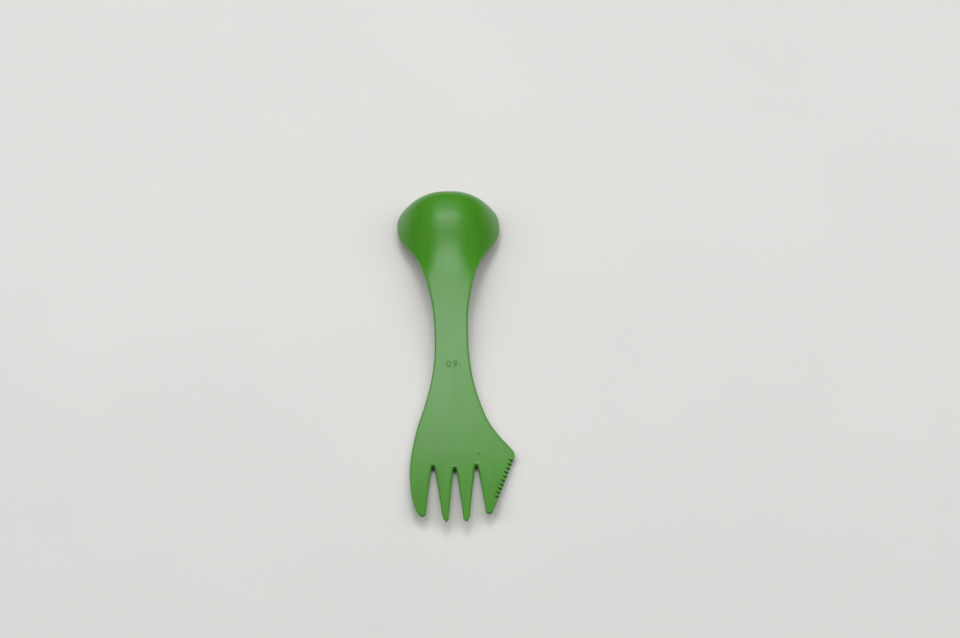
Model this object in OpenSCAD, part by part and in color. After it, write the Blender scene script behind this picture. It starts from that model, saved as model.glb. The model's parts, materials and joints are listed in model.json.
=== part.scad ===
// A camping utensil moulded in one piece of plastic: a spoon bowl at one end, a fork with
// four tines and a serrated side at the other, and a waisted handle between them.
// It lies hollow side down, with the fork toward -Y. All lengths are in millimetres.
// The one moulding is drawn as seven zones that meet face to face and never overlap.

/* [Overall] */
// Length from the tips of the inner tines to the tip of the bowl
overall_length = 170; // [150:1:200]
// Thickness of the moulding
shell_thickness = 2.2; // [1.8:0.1:2.8]
// Rounding along the edges
edge_radius = 0.7; // [0.4:0.05:0.8]
// Colour of the plastic
plastic_colour = [0.26, 0.53, 0.1];

/* [Bowl] */
// Greatest width of the bowl
bowl_width = 38.7; // [34:0.1:44]
// From the widest place of the bowl to its tip
bowl_front_length = 18.6; // [15:0.1:22]
// How full the outline of the bowl's front is: 2 is half an ellipse, more is squarer
front_fullness = 2.4; // [2:0.05:2.6]
// Rise of the dome's middle surface above its rim
bowl_depth = 12.5; // [9:0.1:14]
// How full the dome is: 2 is a parabola, more is boxier
dome_fullness = 2.7; // [2:0.05:3]

/* [Handle] */
// Width at the waist
waist_width = 12.1; // [9:0.1:15]
// From the tine tips to the waist
waist_distance = 87; // [80:0.5:95]
// Height of the underside at the neck behind the bowl
neck_rise = 6.4; // [4:0.1:9]

/* [Fork] */
// From the middle slot's centre line to the left side of the fork
fork_left_reach = 15.4; // [14:0.1:17]
// From the middle slot's centre line to the corner above the teeth
corner_reach = 20.8; // [19:0.1:22.5]
// Distance between neighbouring slots
slot_pitch = 7.4; // [6.8:0.1:7.6]
// Length of the middle slot
slot_length = 26.8; // [23:0.1:28]
// How much higher the two side slots begin
side_slot_lead = 1.1; // [0.5:0.1:2]
// Width of a slot at its rounded root
slot_root_width = 1; // [0.8:0.1:2]
// Width of the middle slot at the tips
middle_mouth_width = 4.8; // [3.6:0.1:5.2]
// Width of the side slots at the tips
side_mouth_width = 5.6; // [4.4:0.1:6]
// Rise of the tine tips above the flat palm
tip_rise = 3.4; // [0:0.1:5]
// Thickness at the very tips of the tines
tip_thickness = 1.2; // [1:0.1:1.8]

/* [Serrated edge] */
// From the tine tips to the last notch
plain_side_length = 10.2; // [8.5:0.1:12]
// Number of notches
notch_count = 10; // [6:1:11]
// Distance between notches along the fork
notch_pitch = 2; // [1.6:0.01:2]
// Depth of a notch
notch_depth = 1.8; // [0.8:0.1:2]
// Thickness at the tips of the teeth, where the side is thinned from below
tooth_thickness = 0.9; // [0.6:0.1:1.4]
// Width of the serrated tine where its tip begins to round
cutting_tip_width = 2.6; // [2:0.1:3.4]

/* [Hidden] */
half_thickness = shell_thickness / 2;
half_length = overall_length / 2;
tips_y = -half_length;

// the bowl: its rim wall leans by this angle, so the thickness stands out past the middle
bowl_wall_angle = atan(dome_fullness * bowl_depth / (bowl_width / 2));
rim_overhang = edge_radius + (half_thickness - edge_radius) * sin(bowl_wall_angle)
    - edge_radius * cos(bowl_wall_angle);
bowl_half_width = bowl_width / 2 - rim_overhang;
bowl_front = bowl_front_length - rim_overhang;
bowl_y = half_length - bowl_front_length;

// the rim's tip stands on the ground
tip_wall_angle = atan(dome_fullness * bowl_depth / bowl_front);
tip_rim_height = edge_radius * (1 - sin(tip_wall_angle))
    + (half_thickness - edge_radius) * cos(tip_wall_angle);

waist_y = tips_y + waist_distance;
neck_share = 0.44;
neck_y = waist_y + (bowl_y - waist_y) * neck_share;
// the corner on the right stands a thickness above the teeth
corner_gap = shell_thickness;
first_notch_y = tips_y + plain_side_length + notch_count * notch_pitch;
corner_y = first_notch_y + corner_gap;
palm_share = 0.46;
palm_y = waist_y - (waist_y - corner_y) * palm_share;

// where the slots begin, and the cut between palm and tines just above them
middle_root_y = tips_y + slot_length;
side_root_y = middle_root_y + side_slot_lead;
root_radius = slot_root_width / 2;
cut_clearance = edge_radius * 2;
cut_y = side_root_y + cut_clearance;
slot_xs = [-slot_pitch, 0, slot_pitch];
slot_root_ys = [side_root_y, middle_root_y, side_root_y];
slot_mouths = [side_mouth_width / 2, middle_mouth_width / 2, side_mouth_width / 2];
// how fast a slot widens at its root: 1 is evenly all along
slot_flare = 1.3;

// the cut reaches the right edge between the corner and the first notch
cut_right_share = 0.6;
cut_right_y = mix(corner_y, first_notch_y, cut_right_share);
tooth_edge_share = 0.2;
tooth_edge_radius = edge_radius * tooth_edge_share;
// along the notches' pitch: where a tooth's slanted upper side ends, and where the next one's
// lower side does
tooth_lean_share = 0.3;
tooth_slope_share = 0.95;
// share of the palm's length over which its right edge thins toward the teeth
thinning_share = 0.12;
// how much of the teeth's thinning has happened at the bottom of a notch
notch_thinning = edge_radius / (notch_depth + edge_radius);

// tine tips: [across in slot pitches, back from the tips, left bend and right bend in slots]
outer_tip_shares = [-1.5, 0.108, 0.336, 0.154];
inner_left_tip_shares = [-0.45, 0, 0.22, 0.07];
inner_right_tip_shares = [0.45, 0, 0.075, 0.112];
outer_side_fullness = 2.3;
tip_curl_fullness = 2;
// the lift toward the tips begins on the palm, this share of a slot's length behind the tines
lift_lead_share = 0.35;
lift_y = cut_y + slot_length * lift_lead_share;
// how full the bend of a tip is: 2 is a quarter of an ellipse, less is more pointed
tip_fullness = 1.7;
tip_taper_fullness = 2;
// the rounding takes up to this share of half the thickness
rounding_share = 0.9;

// the serrated side: a straight line from the rounded corner to the bend of the last tip
cutting_tip_shares = [0.5, 0.134, 0.182, 0.191];
corner_blend_share = 0.25;
corner_blend = corner_gap * corner_blend_share;
plain_end_y = bend_y(cutting_tip_shares[3]);
plain_end_x = slot_pitch + slot_half(2, plain_end_y) + cutting_tip_width;
side_lean = (corner_reach - plain_end_x) / (corner_y - corner_blend / 2 - plain_end_y);
cutting_tip = [plain_end_x - cutting_tip_width * cutting_tip_shares[0],
    bend_y(cutting_tip_shares[1])];

// the whole is shifted sideways so that its box is centred
axis_shift = (bowl_width / 2 - corner_reach) / 2;

// how finely the surface is divided
tine_count = 4;
tine_columns = 6;
columns = tine_count * tine_columns;
back_rings = 20;
front_rings = 18;
handle_rings = 22;
palm_rings = 24;
round_steps = 3;
edge_count = 2 * round_steps;
root_steps = 4;
side_steps = 7;
tip_steps = 6;
tooth_steps = 3;
plain_steps = 4;
probe_share = 0.01;
probe = shell_thickness * probe_share;

// outline shares: [along, across] from the bowl's widest place to the waist
bowl_outline_shares = [[0, 1], [0.075, 0.972], [0.16, 0.845], [0.235, 0.675], [0.3, 0.535],
    [0.37, 0.42], [0.44, 0.33], [0.62, 0.14], [0.8, 0.025], [1, 0]];
// the same from the waist to the fork's widest place on the left
left_outline_shares = [[0, 0], [0.17, 0.045], [0.33, 0.19], [0.51, 0.455], [0.64, 0.68],
    [0.76, 0.83], [0.88, 0.945], [1, 1]];
// and from the waist to the corner above the teeth on the right
right_outline_shares = [[0, 0], [0.19, 0.03], [0.38, 0.12], [0.585, 0.293], [0.69, 0.415],
    [0.77, 0.545], [0.86, 0.73], [0.91, 0.852], [0.96, 0.96], [1, 1]];
left_widest_y = middle_root_y - side_slot_lead;

// height shares of the rim line, along the half length, as shares of the neck's rise
rim_height_shares = [[-0.5, 0], [-0.35, 0.05], [-0.2, 0.2], [-0.06, 0.42], [0.08, 0.65],
    [0.235, 0.88], [0.37, 0.985], [0.47, 0.86], [0.59, 0.53], [0.706, 0.235], [0.824, 0.115],
    [1, (tip_rim_height - half_thickness) / neck_rise]];
// rise of the dome above that line, as shares of the bowl's depth
dome_shares = [[0.2, 0], [0.376, 0.033], [0.47, 0.178], [0.53, 0.349], [0.59, 0.561],
    [0.65, 0.786], [0.706, 0.945], [0.784, 1], [0.86, 1]];

function mix(a, b, t) = a + (b - a) * t;
function unit(v) = v / norm(v);
function clamp(v, low, high) = min(high, max(low, v));

// slope at point i of a smooth curve through the points of a list, level at both ends
function slope(list, i) = i == 0 || i == len(list) - 1
    ? 0
    : (list[i + 1][1] - list[i - 1][1]) / (list[i + 1][0] - list[i - 1][0]);

// which span of the list holds the place q
function span(list, q, i = 0) = i >= len(list) - 2 || q < list[i + 1][0]
    ? i
    : span(list, q, i + 1);

// smooth curve through the list, level beyond its ends
function curve(list, place) = let (
        q = clamp(place, list[0][0], list[len(list) - 1][0]),
        i = span(list, q),
        width = list[i + 1][0] - list[i][0],
        t = (q - list[i][0]) / width,
        s0 = slope(list, i) * width,
        s1 = slope(list, i + 1) * width,
        step = list[i + 1][1] - list[i][1]
    )
    list[i][1] + t * s0 + t * t * (3 * step - 2 * s0 - s1) + t * t * t * (s0 + s1 - 2 * step);

// half the width of bowl and handle between the waist and the bowl's widest place
function bowl_half(y) = mix(waist_width / 2, bowl_half_width,
    curve(bowl_outline_shares, (bowl_y - y) / (bowl_y - waist_y)));

function left_half(y) = y > waist_y
    ? bowl_half(y)
    : mix(waist_width / 2, fork_left_reach,
        curve(left_outline_shares, (waist_y - y) / (waist_y - left_widest_y)));

function right_half(y) = y > waist_y
    ? bowl_half(y)
    : y > corner_y
        ? mix(waist_width / 2, corner_reach,
            curve(right_outline_shares, (waist_y - y) / (waist_y - corner_y)))
        : corner_reach - side_drop(corner_y - y);
// how far the right side has moved in at a distance past its corner, which is rounded
function side_drop(d) = side_lean * (d < corner_blend
    ? d * d / (2 * corner_blend)
    : d - corner_blend / 2);

// height of the middle surface at a place in plan
function rim_line(y) = half_thickness + neck_rise * curve(rim_height_shares, y / half_length);
function dome_rise(y) = bowl_depth * curve(dome_shares, y / half_length);
// how near a place is to the bowl's outline: 0 on the centre line, 1 on the outline
function roundness(x, y) = y > bowl_y
    ? pow(pow(abs(x) / bowl_half_width, front_fullness)
        + pow((y - bowl_y) / bowl_front, front_fullness), 1 / front_fullness)
    : abs(x) / bowl_half(max(y, waist_y));
// how far along the tines a place is: 0 where they begin, 1 at the tips
function tine_share(y) = max(0, cut_y - y) / (cut_y - tips_y);
function lift_share(y) = max(0, lift_y - y) / (lift_y - tips_y);
function tip_lift(y) = tip_rise * pow(lift_share(y), tip_curl_fullness);
function height(x, y) = rim_line(y) + tip_lift(y)
    + dome_rise(y) * (1 - pow(roundness(x, y), dome_fullness));

// half the thickness, which tapers toward the tips of the tines
function half_at(y) = mix(half_thickness, tip_thickness / 2,
    pow(tine_share(y), tip_taper_fullness));

function middle_at(x, y) = [x, y, height(x, y)];
function facing(x, y) = unit([
    (height(x - probe, y) - height(x + probe, y)) / (2 * probe),
    (height(x, y - probe) - height(x, y + probe)) / (2 * probe),
    1
]);

// an edge place is [x, y, outward x, outward y, rounding, thinning]: no rounding means a
// square wall, and thinning runs from 0, full thickness, to 1, that of the teeth
function outward(e) = unit([e[2], e[3],
    (height(e[0] + e[2] * probe, e[1] + e[3] * probe)
        - height(e[0] - e[2] * probe, e[1] - e[3] * probe)) / (2 * probe)]);
function edge_half(e) = mix(half_at(e[1]), tooth_thickness / 2, e[5]);
function rounding(e) = min(e[4], edge_half(e) * rounding_share);
// the top stays where it is when an edge is thinned
function edge_middle(e) = middle_at(e[0], e[1])
    + facing(e[0], e[1]) * (half_at(e[1]) - edge_half(e));
function edge_end(e, side) = edge_middle(e) - outward(e) * rounding(e)
    + facing(e[0], e[1]) * edge_half(e) * side;
function edge_bend(e) = let (
        s = edge_middle(e),
        o = outward(e),
        f = facing(e[0], e[1]),
        r = rounding(e),
        h = edge_half(e)
    )
    r == 0
        ? [for (i = [1:edge_count]) s + f * h * (1 - 2 * i / (edge_count + 1))]
        : concat(
            [for (i = [1:round_steps]) let (a = 90 * i / round_steps)
                s + o * r * (sin(a) - 1) + f * (h - r + r * cos(a))],
            [for (i = [round_steps:-1:1]) let (a = 90 * i / round_steps)
                s + o * r * (sin(a) - 1) - f * (h - r + r * cos(a))]
        );
function inner_place(e) = [e[0] - e[2] * rounding(e), e[1] - e[3] * rounding(e)];
function between(l, r, shares) = [for (t = shares) mix(inner_place(l), inner_place(r), t)];
function even_shares(n) = [for (i = [1:n - 1]) i / n];
function reversed(list) = [for (i = [len(list) - 1:-1:0]) list[i]];

// one closed ring: top left to right, round the right edge, back below, round the left edge
function ring(l, r, places) = concat(
    [edge_end(l, 1)],
    [for (p = places) middle_at(p[0], p[1]) + facing(p[0], p[1]) * half_at(p[1])],
    [edge_end(r, 1)],
    edge_bend(r),
    [edge_end(r, -1)],
    [for (p = reversed(places)) middle_at(p[0], p[1]) - facing(p[0], p[1]) * half_at(p[1])],
    [edge_end(l, -1)],
    reversed(edge_bend(l))
);
// the ring closed to a single bend, where left and right edges meet in a tip
function closed_ring(e) = concat([edge_end(e, 1)], edge_bend(e), [edge_end(e, -1)]);

// number of a point in the joined list of rings, the closed ring's points being shared
function number(i, j, n, c, last) = i < last
    ? i * n + j % n
    : i * n + closed_number(j % n, c);
function closed_number(j, c) = j <= c
    ? 0
    : j <= c + edge_count
        ? j - c
        : j <= 2 * c + edge_count + 1
            ? edge_count + 1
            : 2 * c + 2 * edge_count + 2 - j;

// faces across a flat end, between the ring's upper and lower rows
function end_faces(i, n, c, last) = let (low = 2 * c + edge_count + 1)
    concat(
        [for (j = [1:c - 2]) each [[j, j + 1, low - j], [j + 1, low - j - 1, low - j]]],
        [for (j = [c - 1:c + edge_count]) [j, j + 1, low - c + 1]],
        [for (j = [low:n - 1]) [j, (j + 1) % n, low - 1]],
        [[0, 1, low - 1]]
    );

// the skin over a row of rings; the last ring is closed when tip is true
module skin(rings, c, tip, toward_tines) {
    n = 2 * (c + 1) + 2 * edge_count;
    count = len(rings);
    last = tip ? count - 1 : count;
    side = [for (i = [0:count - 2], j = [0:n - 1]) each j <= c + round_steps
        ? [
            [number(i, j, n, c, last), number(i, j + 1, n, c, last),
                number(i + 1, j + 1, n, c, last)],
            [number(i, j, n, c, last), number(i + 1, j + 1, n, c, last),
                number(i + 1, j, n, c, last)]
        ]
        : [
            [number(i, j, n, c, last), number(i, j + 1, n, c, last),
                number(i + 1, j, n, c, last)],
            [number(i, j + 1, n, c, last), number(i + 1, j + 1, n, c, last),
                number(i + 1, j, n, c, last)]
        ]
    ];
    start = [for (f = end_faces(0, n, c, last)) reversed(f)];
    finish = tip ? [] : [for (f = end_faces(0, n, c, last)) f + [1, 1, 1] * (count - 1) * n];
    faces = [for (f = concat(side, start, finish))
        if (f[0] != f[1] && f[1] != f[2] && f[0] != f[2]) toward_tines ? f : reversed(f)];
    translate([axis_shift, 0, 0])
        polyhedron(points = [for (r = rings) each r], faces = faces);
}

// plan edges of bowl, handle and palm at a station
function left_edge(y) = let (g = (left_half(y + probe) - left_half(y - probe)) / (2 * probe))
    concat([-left_half(y), y], unit([-1, -g]), [edge_radius, 0]);
function right_edge(y) = let (g = (right_half(y + probe) - right_half(y - probe)) / (2 * probe))
    concat([right_half(y), y], unit([1, -g]), [edge_radius, 0]);
function front_edge(side, a) = let (even = 2 / front_fullness)
    concat(
        [side * bowl_half_width * pow(cos(a), even), bowl_y + bowl_front * pow(sin(a), even)],
        unit([side * pow(cos(a), 2 - even) / bowl_half_width, pow(sin(a), 2 - even) / bowl_front]),
        [edge_radius, 0]
    );
function plain_ring(y) = ring(left_edge(y), right_edge(y),
    between(left_edge(y), right_edge(y), even_shares(columns)));

module spoon_bowl() {
    color(plastic_colour) skin(
        concat(
            [for (i = [0:back_rings - 1]) plain_ring(mix(neck_y, bowl_y, i / back_rings))],
            [for (i = [0:front_rings - 1]) let (a = 90 * i / front_rings)
                ring(front_edge(-1, a), front_edge(1, a),
                    between(front_edge(-1, a), front_edge(1, a), even_shares(columns)))],
            [closed_ring(front_edge(1, 90))]
        ), columns, true, false);
}

module handle() {
    color(plastic_colour) skin(
        [for (i = [0:handle_rings]) plain_ring(mix(neck_y, palm_y, i / handle_rings))],
        columns, false, true);
}

// places across the cut between palm and tines
cut_left = left_edge(cut_y);
cut_right = tooth_edge(right_half(cut_right_y), cut_right_y, 1);
function wall_edge(x, side) = [x, cut_y, side, 0, 0, 0];
cut_places = concat(
    between(cut_left, wall_edge(slot_xs[0], 1), even_shares(tine_columns)),
    [[slot_xs[0], cut_y]],
    between(wall_edge(slot_xs[0], -1), wall_edge(slot_xs[1], 1), even_shares(tine_columns)),
    [[slot_xs[1], cut_y]],
    between(wall_edge(slot_xs[1], -1), wall_edge(slot_xs[2], 1), even_shares(tine_columns)),
    [[slot_xs[2], cut_y]],
    between(wall_edge(slot_xs[2], -1), cut_right, even_shares(tine_columns))
);

// near the corner the right edge goes over into that of the teeth
function palm_right(t) = let (
        e = right_edge(mix(palm_y, cut_right_y, t)),
        k = clamp((t - 1 + thinning_share) / thinning_share, 0, 1)
    )
    t == 1 ? cut_right : [e[0], e[1], e[2], e[3], mix(edge_radius, tooth_edge_radius, k), k];
function palm_ring(t) = let (
        l = left_edge(mix(palm_y, cut_y, t)),
        r = palm_right(t),
        from = inner_place(l),
        to = inner_place(r),
        cut_from = inner_place(cut_left),
        cut_to = inner_place(cut_right)
    )
    ring(l, r, [for (j = [0:columns - 2]) let (
            cut_share = (cut_places[j][0] - cut_from[0]) / (cut_to[0] - cut_from[0]),
            off_line = cut_places[j] - mix(cut_from, cut_to, cut_share)
        )
        mix(from, to, mix((j + 1) / columns, cut_share, t)) + off_line * t
    ]);

module fork_palm() {
    color(plastic_colour) skin(
        [for (i = [0:palm_rings]) palm_ring(i / palm_rings)],
        columns, false, true);
}

// one side of a slot: the wall above its root, the rounded root, the straight side
function slot_reach(k) = slot_root_ys[k] - root_radius - tips_y;
function slot_rest(k, y) = (y - tips_y) / slot_reach(k);
function slot_half(k, y) = mix(slot_mouths[k], root_radius, pow(slot_rest(k, y), slot_flare));
// how much half the slot's width grows per length
function slot_lean(k, y) = (slot_mouths[k] - root_radius) / slot_reach(k)
    * slot_flare * pow(slot_rest(k, y), slot_flare - 1);
function slot_wall(k, side) = [wall_edge(slot_xs[k], side)];
function slot_root(k, side) = [for (i = [0:root_steps - 1]) let (a = 90 * i / root_steps)
    [slot_xs[k] - side * root_radius * sin(a), slot_root_ys[k] - root_radius * (1 - cos(a)),
        side * sin(a), -cos(a), edge_radius, 0]];
function slot_side(k, side, to_y, steps) = [for (i = [0:steps - 1]) let (
        y = mix(slot_root_ys[k] - root_radius, to_y, i / steps)
    )
    concat([slot_xs[k] - side * slot_half(k, y), y], unit([side, -slot_lean(k, y)]),
        [edge_radius, 0])];

function tip_place(shares) = [slot_pitch * shares[0], bend_y(shares[1])];
function bend_y(share) = tips_y + slot_length * share;
function slot_bend(k, side, share) = [slot_xs[k] - side * slot_half(k, bend_y(share)),
    bend_y(share)];

// the bend from a side to the tip, which is left out
function tip_bend(from, tip, side) = [for (i = [0:tip_steps - 1]) let (
        a = 90 * i / tip_steps,
        w = abs(from[0] - tip[0]),
        h = from[1] - tip[1],
        even = 2 / tip_fullness
    )
    concat([tip[0] + side * w * pow(cos(a), even), from[1] - h * pow(sin(a), even)],
        unit([side * pow(cos(a), 2 - even) / w, -pow(sin(a), 2 - even) / h]),
        [edge_radius, 0])];
// a slot's whole side with the bend to the tine's tip
function slot_edge(k, side, shares, tip, steps) = let (
        bend = slot_bend(k, side, shares[side > 0 ? 3 : 2])
    )
    concat(slot_wall(k, side), slot_root(k, side), slot_side(k, side, bend[1], steps),
        tip_bend(bend, tip, side));

module tine(l, r, tip) {
    color(plastic_colour) skin(
        concat(
            [for (i = [0:len(l) - 1])
                ring(l[i], r[i], between(l[i], r[i], even_shares(tine_columns)))],
            [closed_ring([tip[0], tip[1], 0, -1, edge_radius, 0])]
        ), tine_columns, true, true);
}

// the outer side of the first tine, by the angle round its long bend
outer_tip = tip_place(outer_tip_shares);
outer_bend_width = fork_left_reach + outer_tip[0];
outer_bend_length = left_widest_y - outer_tip[1];
function outer_angle(y) = asin(pow((left_widest_y - y) / outer_bend_length,
    outer_side_fullness / 2));
function outer_place(a) = let (
        s = pow(sin(a), 2 / outer_side_fullness),
        gx = 2 * cos(a) / outer_bend_width,
        gy = outer_side_fullness * pow(s, outer_side_fullness - 1) / outer_bend_length
    )
    concat([outer_tip[0] - outer_bend_width * cos(a), left_widest_y - outer_bend_length * s],
        unit([-gx, -gy]), [edge_radius, 0]);
function outer_edge(y) = y > left_widest_y ? left_edge(y) : outer_place(outer_angle(y));

module outer_tine() {
    side_count = 1 + root_steps + side_steps;
    bend_from = bend_y(outer_tip_shares[2]);
    tine(
        concat(
            [for (i = [0:side_count - 1]) outer_edge(mix(cut_y, bend_from, i / side_count))],
            [for (i = [0:tip_steps - 1])
                outer_place(mix(outer_angle(bend_from), 90, i / tip_steps))]
        ),
        slot_edge(0, 1, outer_tip_shares, outer_tip, side_steps),
        outer_tip);
}

module inner_tine(k, shares) {
    tip = tip_place(shares);
    tine(
        slot_edge(k, -1, shares, tip, side_steps),
        slot_edge(k + 1, 1, shares, tip, side_steps),
        tip);
}
module inner_tine_left() {
    inner_tine(0, inner_left_tip_shares);
}
module inner_tine_right() {
    inner_tine(1, inner_right_tip_shares);
}

// the serrated side: places on its outer line, and the notches between them
function side_x(y) = corner_reach - side_drop(corner_y - y);
function tooth_edge(x, y, thinning) = [x, y, 1, 0, tooth_edge_radius, thinning];
function notch_y(i) = first_notch_y - notch_pitch * i;
function outer_tooth(i) = tooth_edge(side_x(notch_y(i)), notch_y(i), 1);
function notch_edges(i) = concat(
    [tooth_edge(side_x(notch_y(i)) - notch_depth, notch_y(i), notch_thinning)],
    [outer_tooth(i + tooth_slope_share)],
    i == notch_count - 1 ? [] : [outer_tooth(i + 1 + tooth_lean_share)]
);
// a line of places just inside the notches, which keeps the facets there in order
function backbone(i) = let (y = notch_y((i - 1) / tooth_steps))
    [side_x(y) - notch_depth - edge_radius, y];

module cutting_tine() {
    plain_from = notch_y(notch_count - 1 + tooth_slope_share);
    tooth_edges = concat(
        [outer_tooth(tooth_lean_share)],
        [for (i = [0:notch_count - 1]) each notch_edges(i)]
    );
    teeth = len(tooth_edges);
    right = concat(
        [cut_right],
        tooth_edges,
        [for (i = [1:plain_steps]) let (y = mix(plain_from, plain_end_y, i / (plain_steps + 1)))
            concat([side_x(y), y], unit([1, -side_lean]),
                [mix(tooth_edge_radius, edge_radius, i / plain_steps), 1 - i / plain_steps])],
        tip_bend([plain_end_x, plain_end_y], cutting_tip, 1)
    );
    left = slot_edge(2, -1, cutting_tip_shares, cutting_tip,
        len(right) - 1 - root_steps - tip_steps);
    color(plastic_colour) skin(
        concat(
            [for (i = [0:len(left) - 1]) ring(left[i], right[i], i < 1 || i > teeth
                ? between(left[i], right[i], even_shares(tine_columns))
                : let (from = inner_place(left[i]), to = backbone(i - 1))
                    [for (j = [1:tine_columns - 1]) mix(from, to, j / (tine_columns - 1))])],
            [closed_ring([cutting_tip[0], cutting_tip[1], 0, -1, edge_radius, 0])]
        ), tine_columns, true, true);
}

spoon_bowl();
handle();
fork_palm();
outer_tine();
inner_tine_left();
inner_tine_right();
cutting_tine();
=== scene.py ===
"""Dresses a moulded camping spork: one smooth green plastic skin, a pale floor and soft light.

The utensil is a single moulding. Its seven zones are joined into one skin, smoothed there, and
parted again, so that each zone stays a piece of its own and no seam shows between them.
"""
import json
import math

import bmesh
import bpy
from mathutils import Matrix, Vector
from mathutils.bvhtree import BVHTree

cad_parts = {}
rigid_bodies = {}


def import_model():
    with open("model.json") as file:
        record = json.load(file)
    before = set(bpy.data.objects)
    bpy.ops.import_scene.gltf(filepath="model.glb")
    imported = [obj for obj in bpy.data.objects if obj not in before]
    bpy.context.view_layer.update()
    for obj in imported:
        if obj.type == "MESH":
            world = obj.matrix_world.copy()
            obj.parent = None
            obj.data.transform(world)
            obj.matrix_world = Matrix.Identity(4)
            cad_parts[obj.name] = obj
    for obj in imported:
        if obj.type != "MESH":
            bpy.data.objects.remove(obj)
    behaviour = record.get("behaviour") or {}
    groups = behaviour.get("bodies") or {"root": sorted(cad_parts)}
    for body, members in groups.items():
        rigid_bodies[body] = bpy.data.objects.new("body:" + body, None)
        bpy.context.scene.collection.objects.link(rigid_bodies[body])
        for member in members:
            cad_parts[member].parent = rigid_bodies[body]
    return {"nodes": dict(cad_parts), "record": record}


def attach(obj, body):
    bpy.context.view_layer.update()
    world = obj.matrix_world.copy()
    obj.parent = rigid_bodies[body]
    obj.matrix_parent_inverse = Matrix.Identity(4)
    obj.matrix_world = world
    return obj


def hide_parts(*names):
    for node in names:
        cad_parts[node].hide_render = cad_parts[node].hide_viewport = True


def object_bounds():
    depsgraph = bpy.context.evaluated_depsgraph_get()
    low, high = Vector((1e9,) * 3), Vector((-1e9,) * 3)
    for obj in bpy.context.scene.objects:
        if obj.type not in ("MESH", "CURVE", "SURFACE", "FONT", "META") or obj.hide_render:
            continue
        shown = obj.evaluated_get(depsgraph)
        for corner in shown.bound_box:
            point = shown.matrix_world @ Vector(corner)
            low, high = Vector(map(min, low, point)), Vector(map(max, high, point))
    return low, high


bl_info = {
    "name": "Camping spork",
    "version": (1, 0, 0),
    "blender": (4, 5, 0),
    "location": "3D View > Sidebar > Spork",
    "description": "Smooth moulded skin, satin plastic and a plain studio for a camping spork",
    "category": "Object",
}

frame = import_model()
CAD_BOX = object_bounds()
RECORD_PLASTIC = next(m for m in frame["record"]["materials"] if m["slot"] == "plastic")

MM = 0.001

# zone names, from the bowl to the tines; every zone keeps its own piece
ZONES = [
    "spoon_bowl",
    "handle",
    "fork_palm",
    "outer_tine",
    "inner_tine_left",
    "inner_tine_right",
    "cutting_tine",
]
NUMBER_PIECE = "mould_number"

# names of the values that the skin carries
CORNER_NORMAL = "corner_normal"
EDGE_MASK = "edge_mask"
NUMBER_SHADE_MASK = "number_mask"

# corners nearer than this are one corner, on the zones and on the number
ZONE_MERGE = 0.0008 * MM
NUMBER_MERGE = 0.0005 * MM
# a wall between zones stands up: its normal rises less than this
WALL_RISE = 0.5
# triangles become one quad up to this bend and this skew
QUAD_BEND = math.radians(50)
QUAD_SKEW = math.radians(100)
# a bend's tightness is edge_bend over the bend's own radius; up to this it has no mask
EDGE_START = 0.5
# a face counts as at least this wide, so that the bend beside a sliver stays finite
LEAST_WIDTH = 1e-9
# pieces in a curve of the number, and the room of a character, where 1 is the font's own
NUMBER_STEPS = 5
NUMBER_SPACING = 1.15

# patterns of the plastic, per metre: broad clouds, and the patches in which scuffs show
CLOUD_SCALE = (60, 24, 60)
PATCH_SCALE = 90
# clouds and streaks added up, where the colour goes from deep to the plastic's own
COLOUR_RANGE = (0.8, 1.2)
# flow streaks repeat along the utensil at this share of their rate across it
FLOW_ALONG_SHARE = 0.06
# layers of scuffs: the turn that gives each its own pattern, and its rate along as a share
SCUFF_LAYERS = ((0.35, 0.24), (-0.9, 0.36), (1.9, 0.32))
# half a scuff's width as a share of the spacing, and the noise in which its patches fade in
SCUFF_WIDTH = 0.012
SCUFF_PATCH = (0.52, 0.66)
# worn edges: how far their colour goes to white, its greatest cover, and the roughness lost
EDGE_PALENESS = 0.035
EDGE_COVER = 0.6
EDGE_SMOOTH = 0.05
# the gate's mark: the cover of its dark colour, that colour's share of the plastic's own, and
# the roughness gained; the raised number gets painted shade in the same dark colour, at this share of
# it
MARK_COVER = 0.78
MARK_SHADE = 0.35
MARK_ROUGH = 0.25
NUMBER_SHADE_SHARE = 0.65
# the gate's mark fades out between these shares of its size
GATE_FADE = (0.4, 1.2)
# how far the roughness moves with clouds, grain and scuffs
CLOUD_ROUGH = 0.03
GRAIN_ROUGH = 0.02
SCUFF_ROUGH = 0.06
# how strongly each pattern stands in the relief, and how deep the relief is
GRAIN_RELIEF = 0.6
FLOW_RELIEF = 0.9
SCUFF_RELIEF = 0.25
GATE_RELIEF = 8
RELIEF_STRENGTH = 0.35
RELIEF_DEPTH = 0.012 * MM
PLASTIC_IOR = 1.5
# noise has nearly all its values between these
NOISE_RANGE = (0.3, 0.7)

# the floor: its clouds per metre, the colour of the darker ones as a share of its own, its
# roughness, its size, and how far it lies below the part
FLOOR_SCALE = 9
FLOOR_SHADE = 0.97
FLOOR_ROUGH = (0.75, 0.85)
FLOOR_RADIUS = 4
FLOOR_SIDES = 96
FLOOR_GAP = 0.02 * MM
# the sky and the lamps are a little cold
SKY_COLOUR = (0.96, 0.98, 1, 1)
LAMP_COLOUR = (0.95, 0.975, 1)
# the camera's sensor, in millimetres
SENSOR_WIDTH = 36


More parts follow.
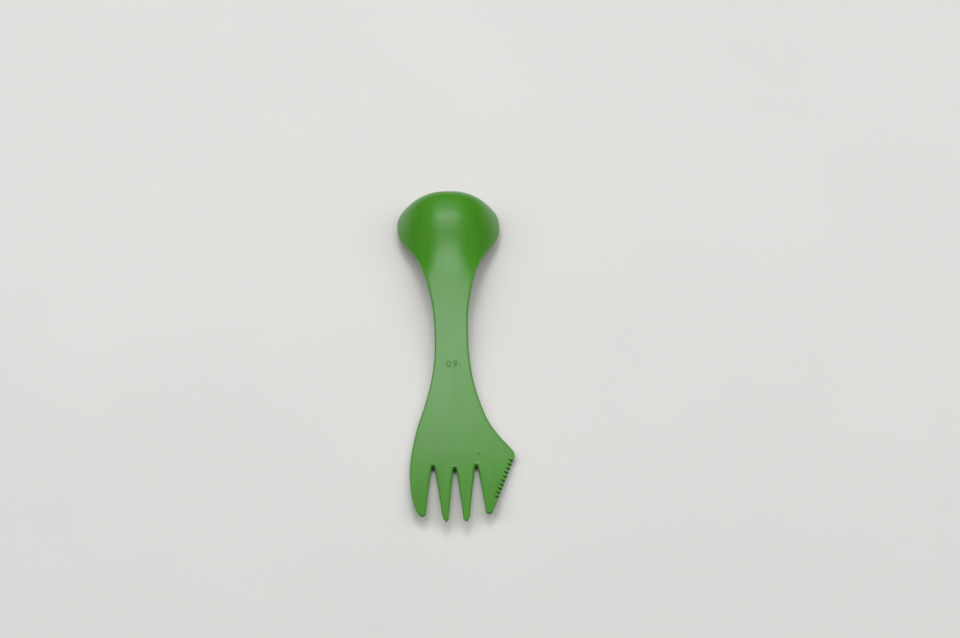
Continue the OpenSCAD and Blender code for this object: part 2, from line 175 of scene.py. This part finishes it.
class SporkSizes(bpy.types.PropertyGroup):
    """Sizes of the moulded skin's finish."""

    smoothing: bpy.props.IntProperty(
        name="Smoothing",
        description="How many times the skin is divided and smoothed",
        default=2,
        min=1,
        max=2,
    )
    tooth_angle: bpy.props.FloatProperty(
        name="Tooth angle",
        description="Edges of the teeth that bend more than this stay sharp",
        default=math.radians(36),
        subtype="ANGLE",
    )
    tooth_crease: bpy.props.FloatProperty(
        name="Tooth crispness",
        description="How far smoothing leaves the teeth as they are cut",
        default=0.75,
        min=0,
        max=1,
        subtype="FACTOR",
    )
    edge_bend: bpy.props.FloatProperty(
        name="Edge bend",
        description="Radius at which a bend counts half as an edge that handling wears",
        default=1.6 * MM,
        unit="LENGTH",
    )
    grain_size: bpy.props.FloatProperty(
        name="Grain size",
        description="Size of the fine satin grain left by the mould",
        default=0.35 * MM,
        unit="LENGTH",
    )
    flow_width: bpy.props.FloatProperty(
        name="Flow width",
        description="Width of the faint streaks that run along the moulding",
        default=2.4 * MM,
        unit="LENGTH",
    )
    scuff_spacing: bpy.props.FloatProperty(
        name="Scuff spacing",
        description="Distance between the fine scuffs from use",
        default=9 * MM,
        unit="LENGTH",
    )
    gate_place: bpy.props.FloatVectorProperty(
        name="Gate place",
        description="Where the small mark of the moulding gate is, in plan",
        default=(7.74 * MM, -52.12 * MM),
        unit="LENGTH",
        size=2,
    )
    gate_size: bpy.props.FloatProperty(
        name="Gate size",
        description="Radius of the mark of the moulding gate",
        default=0.5 * MM,
        unit="LENGTH",
    )
    number: bpy.props.StringProperty(
        name="Mould number",
        description="The plain number raised on the handle between two dots, upside down to the fork",
        default="·60·",
    )
    number_place: bpy.props.FloatVectorProperty(
        name="Number place",
        description="Where the middle of the number is, in plan",
        default=(-0.78 * MM, -9.4 * MM),
        unit="LENGTH",
        size=2,
    )
    number_height: bpy.props.FloatProperty(
        name="Number height",
        description="Size of the number's type",
        default=3.9 * MM,
        unit="LENGTH",
    )
    number_relief: bpy.props.FloatProperty(
        name="Number relief",
        description="How far the number stands out of the handle",
        default=0.08 * MM,
        unit="LENGTH",
    )


class SporkColours(bpy.types.PropertyGroup):
    """Colours and gloss of plastic and floor."""

    plastic: bpy.props.FloatVectorProperty(
        name="Plastic",
        description="Colour of the green plastic, in sRGB",
        default=RECORD_PLASTIC["base_color"],
        subtype="COLOR_GAMMA",
        size=3,
        min=0,
        max=1,
    )
    shade: bpy.props.FloatProperty(
        name="Colour variation",
        description="How much darker the plastic is where the melt mixed less",
        default=0.1,
        min=0,
        max=0.3,
        subtype="FACTOR",
    )
    satin: bpy.props.FloatProperty(
        name="Satin",
        description="Roughness of the satin surface",
        default=0.34,
        min=0,
        max=1,
        subtype="FACTOR",
    )
    floor: bpy.props.FloatVectorProperty(
        name="Floor",
        description="Colour of the plain pale floor, in sRGB",
        default=(0.86, 0.845, 0.825),
        subtype="COLOR_GAMMA",
        size=3,
        min=0,
        max=1,
    )


class SporkStudio(bpy.types.PropertyGroup):
    """Light and camera."""

    sky: bpy.props.FloatProperty(
        name="Sky",
        description="Strength of the even light from all round",
        default=0.04,
        min=0,
        max=2,
    )
    window: bpy.props.FloatProperty(
        name="Window light",
        description="Power of the soft light behind the object",
        default=4.8,
        min=0,
        max=100,
        unit="POWER",
    )
    window_height: bpy.props.FloatProperty(
        name="Window height",
        description="Angle of the soft light above the floor",
        default=math.radians(60),
        subtype="ANGLE",
    )
    window_side: bpy.props.FloatProperty(
        name="Window side",
        description="Angle of the soft light to the left of the far side",
        default=math.radians(4),
        subtype="ANGLE",
    )
    window_size: bpy.props.FloatProperty(
        name="Window size",
        description="Width of the soft light behind the object",
        default=0.6,
        unit="LENGTH",
    )
    flank: bpy.props.FloatProperty(
        name="Flank light",
        description="Power of each of the two broad lights at the object's sides",
        default=10,
        min=0,
        max=100,
        unit="POWER",
    )
    flank_height: bpy.props.FloatProperty(
        name="Flank height",
        description="Angle of the side lights above the floor",
        default=math.radians(52),
        subtype="ANGLE",
    )
    flank_size: bpy.props.FloatProperty(
        name="Flank size",
        description="Width of each side light",
        default=1.5,
        unit="LENGTH",
    )
    lamp_distance: bpy.props.FloatProperty(
        name="Lamp distance",
        description="From the object to each soft light",
        default=1.2,
        unit="LENGTH",
    )
    camera_place: bpy.props.FloatVectorProperty(
        name="Camera place",
        description="Where the photograph was taken from",
        default=(-7.482 * MM, -621.536 * MM, 596.749 * MM),
        subtype="TRANSLATION",
        unit="LENGTH",
        size=3,
    )
    camera_turn: bpy.props.FloatVectorProperty(
        name="Camera turn",
        description="Turn of the camera about X, Y and Z",
        default=(math.radians(47), 0, math.radians(-1.5638)),
        subtype="EULER",
        size=3,
    )
    camera_lens: bpy.props.FloatProperty(
        name="Lens",
        description="Focal length for a sensor 36 mm wide, in millimetres",
        default=89.8,
        min=1,
        unit="CAMERA",
    )


def linear(colour):
    """An sRGB colour as the linear one that the shaders take."""
    return [c / 12.92 if c < 0.04045 else ((c + 0.055) / 1.055) ** 2.4 for c in colour]


def gather_zones():
    """One mesh that holds every zone, its doubles merged and each face marked with its zone."""
    bm = bmesh.new()
    zone = bm.faces.layers.int.new("zone")
    for number, name in enumerate(ZONES):
        before = len(bm.faces)
        bm.from_mesh(frame["nodes"][name].data)
        bm.faces.ensure_lookup_table()
        for face in bm.faces[before:]:
            face[zone] = number
    bmesh.ops.remove_doubles(bm, verts=bm.verts, dist=ZONE_MERGE)
    return bm


def open_seams(bm):
    """Takes out the walls between zones, so that the skin runs through."""
    zone = bm.faces.layers.int["zone"]
    bm.normal_update()
    touching = {v: {f[zone] for f in v.link_faces} for v in bm.verts}
    walls = []
    # a wall's corners all touch one other zone, or it stands up and each touches some other
    for face in bm.faces:
        reached = [touching[v] - {face[zone]} for v in face.verts]
        if set.intersection(*reached) or (all(reached) and abs(face.normal.z) < WALL_RISE):
            walls.append(face)
    bmesh.ops.delete(bm, geom=walls, context="FACES")
    torn = [e for e in bm.edges if len(e.link_faces) != 2]
    if torn:
        places = sorted({tuple(round(c / MM, 2) for c in e.verts[0].co) for e in torn})
        raise RuntimeError(f"the skin is open or doubled at {len(torn)} edges: {places[:6]}")


def mark_teeth(bm, sizes):
    """Keeps the teeth crisp where the rest of the skin is smoothed."""
    crease = bm.edges.layers.float.get("crease_edge") or bm.edges.layers.float.new("crease_edge")
    for edge in bm.edges:
        if edge.calc_face_angle(0) > sizes.tooth_angle:
            edge[crease] = sizes.tooth_crease


def smoothed(bm, levels):
    """The skin divided and smoothed, as a mesh of its own."""
    mesh = bpy.data.meshes.new("skin")
    bm.to_mesh(mesh)
    holder = bpy.data.objects.new("skin_holder", mesh)
    bpy.context.scene.collection.objects.link(holder)
    step = holder.modifiers.new("smooth", "SUBSURF")
    step.levels = step.render_levels = levels
    step.use_limit_surface = False
    depsgraph = bpy.context.evaluated_depsgraph_get()
    skin = bpy.data.meshes.new_from_object(holder.evaluated_get(depsgraph))
    bpy.data.objects.remove(holder)
    bpy.data.meshes.remove(mesh)
    return skin


def bend_of(edge):
    """One over the radius of the bend at an edge: its angle over its two faces' mean width."""
    width = sum(f.calc_area() for f in edge.link_faces) / (2 * edge.calc_length())
    return edge.calc_face_angle(0) / max(width, LEAST_WIDTH)


def mark_edges(skin, sizes):
    """Writes how close each place is to a rounded edge, from how tightly the skin bends there."""
    bm = bmesh.new()
    bm.from_mesh(skin)
    mask = bm.verts.layers.float.new(EDGE_MASK)
    bm.normal_update()
    for vert in bm.verts:
        tight = max(bend_of(edge) for edge in vert.link_edges) * sizes.edge_bend
        vert[mask] = min(1.0, max(0.0, tight - EDGE_START))
    bm.to_mesh(skin)
    bm.free()


def mark_normals(skin, sizes):
    """Keeps the whole skin's own normals at every corner, for when the zones are parted."""
    for polygon in skin.polygons:
        polygon.use_smooth = True
    skin.set_sharp_from_angle(angle=sizes.tooth_angle)
    kept = skin.attributes.new(CORNER_NORMAL, "FLOAT_VECTOR", "CORNER")
    flat = [c for normal in skin.corner_normals for c in normal.vector]
    kept.data.foreach_set("vector", flat)


def part_zone(skin, number):
    """The piece of the skin that belongs to one zone, closed where it meets its neighbours."""
    bm = bmesh.new()
    bm.from_mesh(skin)
    zone = bm.faces.layers.int["zone"]
    others = [f for f in bm.faces if f[zone] != number]
    bmesh.ops.delete(bm, geom=others, context="FACES")
    rim = [e for e in bm.edges if e.is_boundary]
    caps = bmesh.ops.holes_fill(bm, edges=rim, sides=0)["faces"]
    for cap in caps:
        cap.smooth = False
    bmesh.ops.triangulate(bm, faces=caps)
    bmesh.ops.recalc_face_normals(bm, faces=bm.faces)
    mesh = bpy.data.meshes.new("moulded_" + ZONES[number])
    bm.to_mesh(mesh)
    bm.free()
    flat = [0.0] * (3 * len(mesh.loops))
    mesh.attributes[CORNER_NORMAL].data.foreach_get("vector", flat)
    mesh.normals_split_custom_set([flat[i:i + 3] for i in range(0, len(flat), 3)])
    mesh.attributes.remove(mesh.attributes[CORNER_NORMAL])
    return mesh


class SPORK_OT_skin(bpy.types.Operator):
    """Joins the zones into one smooth skin and parts them again without a visible seam"""

    bl_idname = "spork.skin"
    bl_label = "Moulded skin"

    def execute(self, context):
        sizes = context.scene.spork_sizes
        bm = gather_zones()
        open_seams(bm)
        bmesh.ops.join_triangles(
            bm,
            faces=bm.faces,
            angle_face_threshold=QUAD_BEND,
            angle_shape_threshold=QUAD_SKEW,
        )
        mark_teeth(bm, sizes)
        skin = smoothed(bm, sizes.smoothing)
        bm.free()
        mark_edges(skin, sizes)
        mark_normals(skin, sizes)
        for number, name in enumerate(ZONES):
            mesh = part_zone(skin, number)
            piece = bpy.data.objects.new(mesh.name, mesh)
            context.scene.collection.objects.link(piece)
            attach(piece, "root")
            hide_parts(name)
        bpy.data.meshes.remove(skin)
        return {"FINISHED"}


def top_of(name):
    """A function that gives the height of a piece's upper side at a place in plan."""
    bm = bmesh.new()
    bm.from_mesh(bpy.data.objects[name].data)
    surface = BVHTree.FromBMesh(bm)
    bm.free()

    def height(x, y):
        hit = surface.ray_cast(Vector((x, y, 2 * CAD_BOX[1].z)), Vector((0, 0, -1)))[0]
        if hit is None:
            raise RuntimeError(f"{name} isn't under the place {x / MM:.2f}, {y / MM:.2f} mm")
        return hit.z

    return height


def number_solid(sizes):
    """The digits and dots as closed solids, upside down to the fork, on the handle's surface."""
    curve = bpy.data.curves.new("number", "FONT")
    curve.body = sizes.number
    curve.size = sizes.number_height
    curve.space_character = NUMBER_SPACING
    curve.align_x = "CENTER"
    curve.align_y = "CENTER"
    curve.extrude = sizes.number_relief
    curve.resolution_u = NUMBER_STEPS
    holder = bpy.data.objects.new("number_holder", curve)
    bpy.context.scene.collection.objects.link(holder)
    depsgraph = bpy.context.evaluated_depsgraph_get()
    mesh = bpy.data.meshes.new_from_object(holder.evaluated_get(depsgraph))
    bpy.data.objects.remove(holder)

    handle_top = top_of("moulded_handle")
    bm = bmesh.new()
    bm.from_mesh(mesh)
    bmesh.ops.remove_doubles(bm, verts=bm.verts, dist=NUMBER_MERGE)
    turn = Matrix.Rotation(math.radians(180), 4, "Z")
    bmesh.ops.rotate(bm, verts=bm.verts, cent=(0, 0, 0), matrix=turn)
    bmesh.ops.translate(bm, verts=bm.verts, vec=(*sizes.number_place, 0))
    for vert in bm.verts:
        vert.co.z += handle_top(vert.co.x, vert.co.y)
    bmesh.ops.recalc_face_normals(bm, faces=bm.faces)
    # marks the number, so that the plastic paints shade on it
    mask = bm.verts.layers.float.new(NUMBER_SHADE_MASK)
    for vert in bm.verts:
        vert[mask] = 1
    bm.to_mesh(mesh)
    bm.free()
    mesh.name = NUMBER_PIECE
    return mesh


class SPORK_OT_number(bpy.types.Operator):
    """Raises a small plain mould number on the handle"""

    bl_idname = "spork.number"
    bl_label = "Mould number"

    def execute(self, context):
        mesh = number_solid(context.scene.spork_sizes)
        piece = bpy.data.objects.new(mesh.name, mesh)
        context.scene.collection.objects.link(piece)
        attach(piece, "root")
        return {"FINISHED"}


class Nodes:
    """Short words for adding and joining shader nodes."""

    def __init__(self, material):
        material.use_nodes = True
        self.tree = material.node_tree
        self.tree.nodes.clear()

    def add(self, kind, **settings):
        node = self.tree.nodes.new(kind)
        for key, value in settings.items():
            setattr(node, key, value)
        return node

    def join(self, source, target):
        self.tree.links.new(source, target)

    def spread(self, coordinates, scale, turn=0):
        """Object coordinates scaled, and then turned about Z, for a pattern."""
        mapping = self.add("ShaderNodeMapping", vector_type="POINT")
        mapping.inputs["Rotation"].default_value = (0, 0, turn)
        mapping.inputs["Scale"].default_value = scale
        self.join(coordinates, mapping.inputs["Vector"])
        return mapping.outputs["Vector"]

    def noise(self, coordinates, detail=2):
        """Soft noise over the coordinates given."""
        node = self.add("ShaderNodeTexNoise", noise_dimensions="3D")
        node.inputs["Scale"].default_value = 1
        node.inputs["Detail"].default_value = detail
        self.join(coordinates, node.inputs["Vector"])
        return node.outputs["Fac"]

    def ranged(self, value, low, high, to_low, to_high, smooth=False):
        """The value moved from one range to another, and held inside it."""
        node = self.add("ShaderNodeMapRange", clamp=True)
        node.interpolation_type = "SMOOTHSTEP" if smooth else "LINEAR"
        ends = {"From Min": low, "From Max": high, "To Min": to_low, "To Max": to_high}
        for key, number in ends.items():
            node.inputs[key].default_value = number
        self.join(value, node.inputs["Value"])
        return node.outputs["Result"]

    def maths(self, operation, a, b):
        """Two values put together, the second fixed or from another node."""
        node = self.add("ShaderNodeMath", operation=operation)
        self.join(a, node.inputs[0])
        if isinstance(b, (int, float)):
            node.inputs[1].default_value = b
        else:
            self.join(b, node.inputs[1])
        return node.outputs["Value"]

    def mixed(self, factor, a, b):
        """A colour between two, each of them fixed or from another node."""
        node = self.add("ShaderNodeMix", data_type="RGBA")
        self.join(factor, node.inputs["Factor"])
        for key, colour in (("A", a), ("B", b)):
            if isinstance(colour, list):
                node.inputs[key].default_value = (*colour, 1)
            else:
                self.join(colour, node.inputs[key])
        return node.outputs["Result"]


def scuff_lines(n, place, sizes):
    """Fine scuffs along the utensil, in a few layers, each of which shows in patches only."""
    across = 1 / sizes.scuff_spacing
    scuffs = None
    for turn, along_share in SCUFF_LAYERS:
        lines = n.add("ShaderNodeTexVoronoi", feature="DISTANCE_TO_EDGE", voronoi_dimensions="3D")
        lines.inputs["Scale"].default_value = 1
        streaks = n.spread(place, (across, across * along_share, across), turn)
        n.join(streaks, lines.inputs["Vector"])
        line = n.ranged(lines.outputs["Distance"], 0, SCUFF_WIDTH, 1, 0, smooth=True)
        patches = n.noise(n.spread(place, (PATCH_SCALE,) * 3, turn))
        kept = n.maths("MULTIPLY", line, n.ranged(patches, *SCUFF_PATCH, 0, 1, smooth=True))
        scuffs = kept if scuffs is None else n.maths("MAXIMUM", scuffs, kept)
    return scuffs


def gate_mark(n, place, sizes):
    """The small round mark where the plastic ran into the mould: 1 on it, 0 beside it."""
    away = n.add("ShaderNodeVectorMath", operation="DISTANCE")
    n.join(place, away.inputs[0])
    height = top_of("moulded_fork_palm")(*sizes.gate_place)
    away.inputs[1].default_value = (*sizes.gate_place, height)
    near, far = (sizes.gate_size * share for share in GATE_FADE)
    return n.ranged(away.outputs["Value"], near, far, 1, 0, smooth=True)


def satin_plastic(sizes, colours):
    """Moulded green plastic: fine satin grain, faint flow streaks, light scuffs, paler edges, a dark
    gate mark, and painted shade on the raised number.
    """
    material = bpy.data.materials.new("satin_green_plastic")
    n = Nodes(material)
    place = n.add("ShaderNodeTexCoord").outputs["Object"]
    edge = n.add("ShaderNodeAttribute", attribute_name=EDGE_MASK).outputs["Fac"]
    # where the raised number is, for the painted shade on it
    number = n.add("ShaderNodeAttribute", attribute_name=NUMBER_SHADE_MASK).outputs["Fac"]
    gate = gate_mark(n, place, sizes)
    # the gate's dark mark, and painted shade on the number at a lesser share
    gate_mark_and_number_shade = n.maths("MAXIMUM", gate, n.maths("MULTIPLY", number, NUMBER_SHADE_SHARE))
    scuffs = scuff_lines(n, place, sizes)

    cloud = n.noise(n.spread(place, CLOUD_SCALE), detail=3)
    across = 1 / sizes.flow_width
    flow = n.noise(n.spread(place, (across, across * FLOW_ALONG_SHARE, across)))
    grain = n.noise(n.spread(place, (1 / sizes.grain_size,) * 3))

    base = linear(colours.plastic)
    deep = [c * (1 - colours.shade) for c in base]
    pale = [c + (1 - c) * EDGE_PALENESS for c in base]
    dark = [c * MARK_SHADE for c in base]
    colour = n.mixed(n.ranged(n.maths("ADD", cloud, flow), *COLOUR_RANGE, 0, 1), deep, base)
    colour = n.mixed(n.ranged(edge, 0, 1, 0, EDGE_COVER, smooth=True), colour, pale)
    # darkens the gate's mark, and paints shade on the raised number
    colour = n.mixed(n.maths("MULTIPLY", gate_mark_and_number_shade, MARK_COVER), colour, dark)

    satin = colours.satin
    rough = n.ranged(cloud, *NOISE_RANGE, satin - CLOUD_ROUGH, satin + CLOUD_ROUGH)
    rough = n.maths("ADD", rough, n.ranged(grain, *NOISE_RANGE, -GRAIN_ROUGH, GRAIN_ROUGH))
    rough = n.maths("ADD", rough, n.ranged(scuffs, 0, 1, 0, SCUFF_ROUGH))
    rough = n.maths("SUBTRACT", rough, n.ranged(edge, 0, 1, 0, EDGE_SMOOTH))
    rough = n.maths("ADD", rough, n.ranged(gate_mark_and_number_shade, 0, 1, 0, MARK_ROUGH))

    grain_relief = n.maths("MULTIPLY", grain, GRAIN_RELIEF)
    relief = n.maths("ADD", grain_relief, n.maths("MULTIPLY", flow, FLOW_RELIEF))
    relief = n.maths("SUBTRACT", relief, n.maths("MULTIPLY", scuffs, SCUFF_RELIEF))
    relief = n.maths("SUBTRACT", relief, n.maths("MULTIPLY", gate, GATE_RELIEF))
    bump = n.add("ShaderNodeBump")
    bump.inputs["Strength"].default_value = RELIEF_STRENGTH
    bump.inputs["Distance"].default_value = RELIEF_DEPTH
    n.join(relief, bump.inputs["Height"])

    shader = n.add("ShaderNodeBsdfPrincipled")
    shader.inputs["IOR"].default_value = PLASTIC_IOR
    n.join(colour, shader.inputs["Base Color"])
    n.join(rough, shader.inputs["Roughness"])
    n.join(bump.outputs["Normal"], shader.inputs["Normal"])
    n.join(shader.outputs["BSDF"], n.add("ShaderNodeOutputMaterial").inputs["Surface"])
    return material


class SPORK_OT_plastic(bpy.types.Operator):
    """Gives every piece the same satin green plastic"""

    bl_idname = "spork.plastic"
    bl_label = "Satin plastic"

    def execute(self, context):
        plastic = satin_plastic(context.scene.spork_sizes, context.scene.spork_colours)
        for name in ["moulded_" + zone for zone in ZONES] + [NUMBER_PIECE]:
            materials = bpy.data.objects[name].data.materials
            materials.clear()
            materials.append(plastic)
        return {"FINISHED"}


def pale_floor(colours):
    """Plain pale floor, barely uneven."""
    material = bpy.data.materials.new("pale_floor")
    n = Nodes(material)
    place = n.add("ShaderNodeTexCoord").outputs["Object"]
    cloud = n.noise(n.spread(place, (FLOOR_SCALE,) * 3), detail=4)
    base = linear(colours.floor)
    deep = [c * FLOOR_SHADE for c in base]
    shader = n.add("ShaderNodeBsdfPrincipled")
    n.join(n.mixed(n.ranged(cloud, *NOISE_RANGE, 0, 1), deep, base), shader.inputs["Base Color"])
    n.join(n.ranged(cloud, *NOISE_RANGE, *FLOOR_ROUGH), shader.inputs["Roughness"])
    n.join(shader.outputs["BSDF"], n.add("ShaderNodeOutputMaterial").inputs["Surface"])
    return material


def soft_light(scene, name, power, size, up, side):
    """A round soft light that faces the object, `up` above the floor, `side` left of the far side."""
    light = bpy.data.lights.new(name, "AREA")
    light.shape = "DISK"
    light.size = size
    light.energy = power
    light.color = LAMP_COLOUR
    lamp = bpy.data.objects.new(name, light)
    far = scene.spork_studio.lamp_distance
    lamp.location = (
        -far * math.cos(up) * math.sin(side),
        far * math.cos(up) * math.cos(side),
        far * math.sin(up),
    )
    lamp.rotation_euler = (up - math.radians(90), 0, side)
    scene.collection.objects.link(lamp)
    return lamp


def add_floor(scene):
    """The plain floor on which the utensil lies."""
    bm = bmesh.new()
    bmesh.ops.create_circle(bm, cap_ends=True, segments=FLOOR_SIDES, radius=FLOOR_RADIUS)
    mesh = bpy.data.meshes.new("floor")
    bm.to_mesh(mesh)
    bm.free()
    mesh.materials.append(pale_floor(scene.spork_colours))
    floor = bpy.data.objects.new("floor", mesh)
    floor.location.z = CAD_BOX[0].z - FLOOR_GAP
    scene.collection.objects.link(floor)


def add_sky(scene):
    """Even light from all round."""
    world = bpy.data.worlds.new("even_sky")
    scene.world = world
    world.use_nodes = True
    background = world.node_tree.nodes["Background"]
    background.inputs["Color"].default_value = SKY_COLOUR
    background.inputs["Strength"].default_value = scene.spork_studio.sky


def add_lamps(scene):
    """One soft light behind the object, and a broad one at each side."""
    studio = scene.spork_studio
    size, up = studio.window_size, studio.window_height
    soft_light(scene, "window", studio.window, size, up, studio.window_side)
    size, up = studio.flank_size, studio.flank_height
    for name, side in (("left_light", math.radians(90)), ("right_light", math.radians(-90))):
        lamp = soft_light(scene, name, studio.flank, size, up, side)
        # the side lights brighten the plastic and stay out of its sheen
        lamp.visible_glossy = False


def add_camera(scene):
    """The camera, where the photograph was taken from."""
    studio = scene.spork_studio
    camera = bpy.data.objects.new("camera", bpy.data.cameras.new("camera"))
    camera.location = studio.camera_place
    camera.rotation_euler = studio.camera_turn
    camera.data.lens = studio.camera_lens
    camera.data.sensor_width = SENSOR_WIDTH
    scene.collection.objects.link(camera)
    scene.camera = camera


class SPORK_OT_stage(bpy.types.Operator):
    """Adds the pale floor, the soft light and the camera"""

    bl_idname = "spork.stage"
    bl_label = "Stage"

    def execute(self, context):
        scene = context.scene
        add_floor(scene)
        add_sky(scene)
        add_lamps(scene)
        add_camera(scene)
        scene.view_settings.view_transform = "Standard"
        return {"FINISHED"}


class SPORK_PT_panel(bpy.types.Panel):
    """Lists the sizes, colours and steps in the sidebar"""

    bl_idname = "SPORK_PT_panel"
    bl_label = "Camping spork"
    bl_space_type = "VIEW_3D"
    bl_region_type = "UI"
    bl_category = "Spork"

    def draw(self, context):
        scene = context.scene
        for group in (scene.spork_sizes, scene.spork_colours, scene.spork_studio):
            box = self.layout.box()
            for name in group.__annotations__:
                box.prop(group, name)
        for operator in (SPORK_OT_skin, SPORK_OT_number, SPORK_OT_plastic, SPORK_OT_stage):
            self.layout.operator(operator.bl_idname)


CLASSES = (
    SporkSizes,
    SporkColours,
    SporkStudio,
    SPORK_OT_skin,
    SPORK_OT_number,
    SPORK_OT_plastic,
    SPORK_OT_stage,
    SPORK_PT_panel,
)


def register():
    for entry in CLASSES:
        bpy.utils.register_class(entry)
    bpy.types.Scene.spork_sizes = bpy.props.PointerProperty(type=SporkSizes)
    bpy.types.Scene.spork_colours = bpy.props.PointerProperty(type=SporkColours)
    bpy.types.Scene.spork_studio = bpy.props.PointerProperty(type=SporkStudio)


def unregister():
    for name in ("spork_sizes", "spork_colours", "spork_studio"):
        delattr(bpy.types.Scene, name)
    for entry in reversed(CLASSES):
        bpy.utils.unregister_class(entry)


def main():
    register()
    bpy.ops.spork.skin()
    bpy.ops.spork.number()
    bpy.ops.spork.plastic()
    bpy.ops.spork.stage()


if __name__ == "__main__":
    main()
